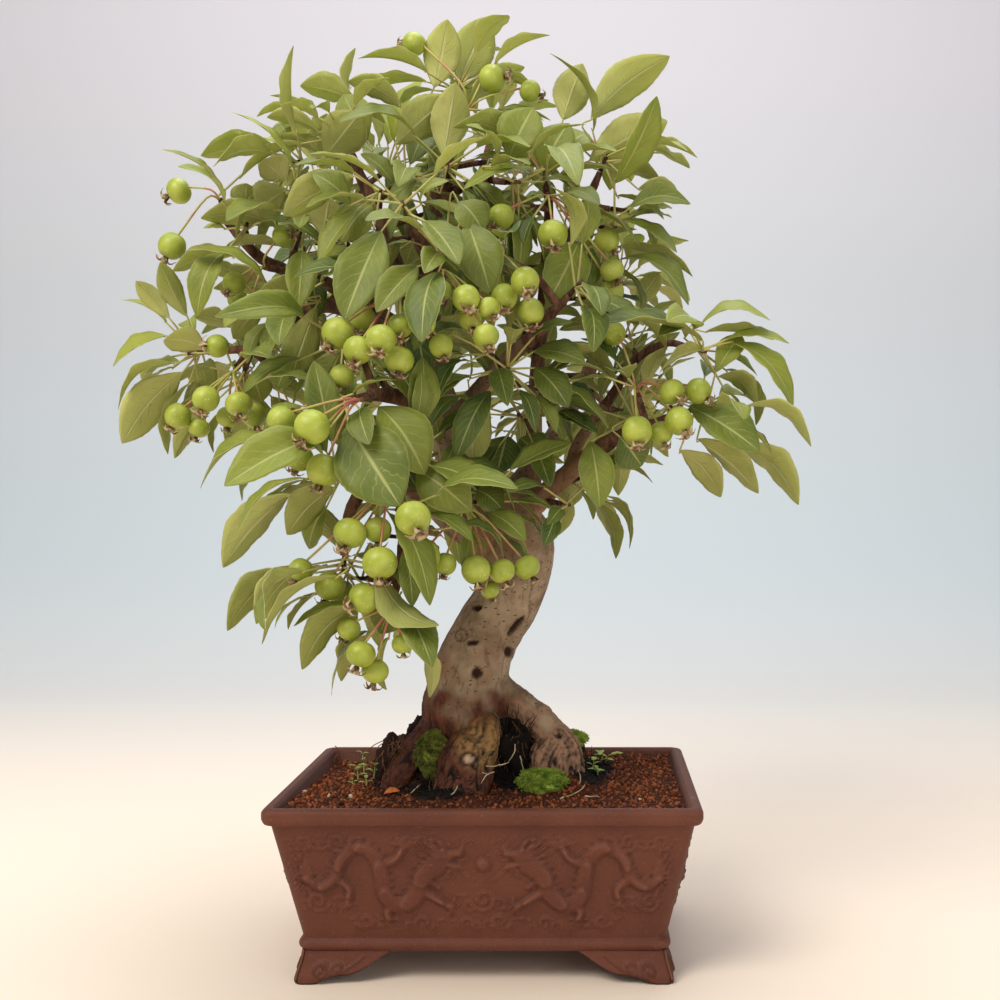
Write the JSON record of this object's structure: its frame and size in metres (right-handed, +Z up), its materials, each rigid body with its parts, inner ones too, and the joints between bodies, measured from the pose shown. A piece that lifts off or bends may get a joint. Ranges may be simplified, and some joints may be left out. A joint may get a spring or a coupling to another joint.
{
  "type": "fruiting crabapple bonsai in a pot",
  "caption": "Hall crabapple bonsai: curved trunk, leafy crown with clusters of small green apples, in a rectangular clay pot on bracket feet with relief on its walls.",
  "frame": {"origin": "middle of the whole object's box, on the ground under the pot", "axes": "+Z up, +X to the viewer's right along the pot's long side, +Y away from the viewer"},
  "size_m": [0.3732, 0.3164, 0.5142],
  "materials": {
    "clay": "matt unglazed clay",
    "soil": "granular soil",
    "bark": "bark",
    "leaves": "satin leaf",
    "apples": "smooth apple skin",
    "moss": "moss"
  },
  "bodies": {
    "root": {"apples_behind": "apples", "apples_centre": "apples", "apples_centre_left": "apples", "apples_centre_right": "apples", "apples_far_left": "apples", "apples_front_left": "apples", "apples_left_branch": "apples", "apples_left_inner": "apples", "apples_low": "apples", "apples_low_tip": "apples", "apples_right": "apples", "apples_right_top": "apples", "apples_top": "apples", "apples_trunk": "apples", "moss_front": "moss", "moss_left": "moss", "moss_right": "moss", "pot": "clay", "soil": "soil", "spray_arch": "leaves", "spray_behind_left": "leaves", "spray_behind_left_low": "leaves", "spray_behind_left_top": "leaves", "spray_behind_low": "leaves", "spray_behind_middle": "leaves", "spray_behind_right": "leaves", "spray_behind_right_low": "leaves", "spray_behind_top": "leaves", "spray_centre": "leaves", "spray_centre_left": "leaves", "spray_centre_top": "leaves", "spray_crown_left": "leaves", "spray_crown_pale": "leaves", "spray_crown_right": "leaves", "spray_crown_stem": "leaves", "spray_far_left": "leaves", "spray_front_big": "leaves", "spray_front_tip": "leaves", "spray_hang_middle": "leaves", "spray_hang_tip": "leaves", "spray_inner_left": "leaves", "spray_inner_right": "leaves", "spray_left_middle": "leaves", "spray_left_outer": "leaves", "spray_left_tip": "leaves", "spray_low_left": "leaves", "spray_low_right": "leaves", "spray_low_tip": "leaves", "spray_pendant_grey": "leaves", "spray_pendant_pale": "leaves", "spray_right_far": "leaves", "spray_right_inner": "leaves", "spray_right_low_mid": "leaves", "spray_right_low_tip": "leaves", "spray_right_top": "leaves", "spray_right_upper": "leaves", "spray_shoulder_left": "leaves", "spray_top": "leaves", "spray_trunk_front": "leaves", "tree": "bark"}
  },
  "joints": []
}
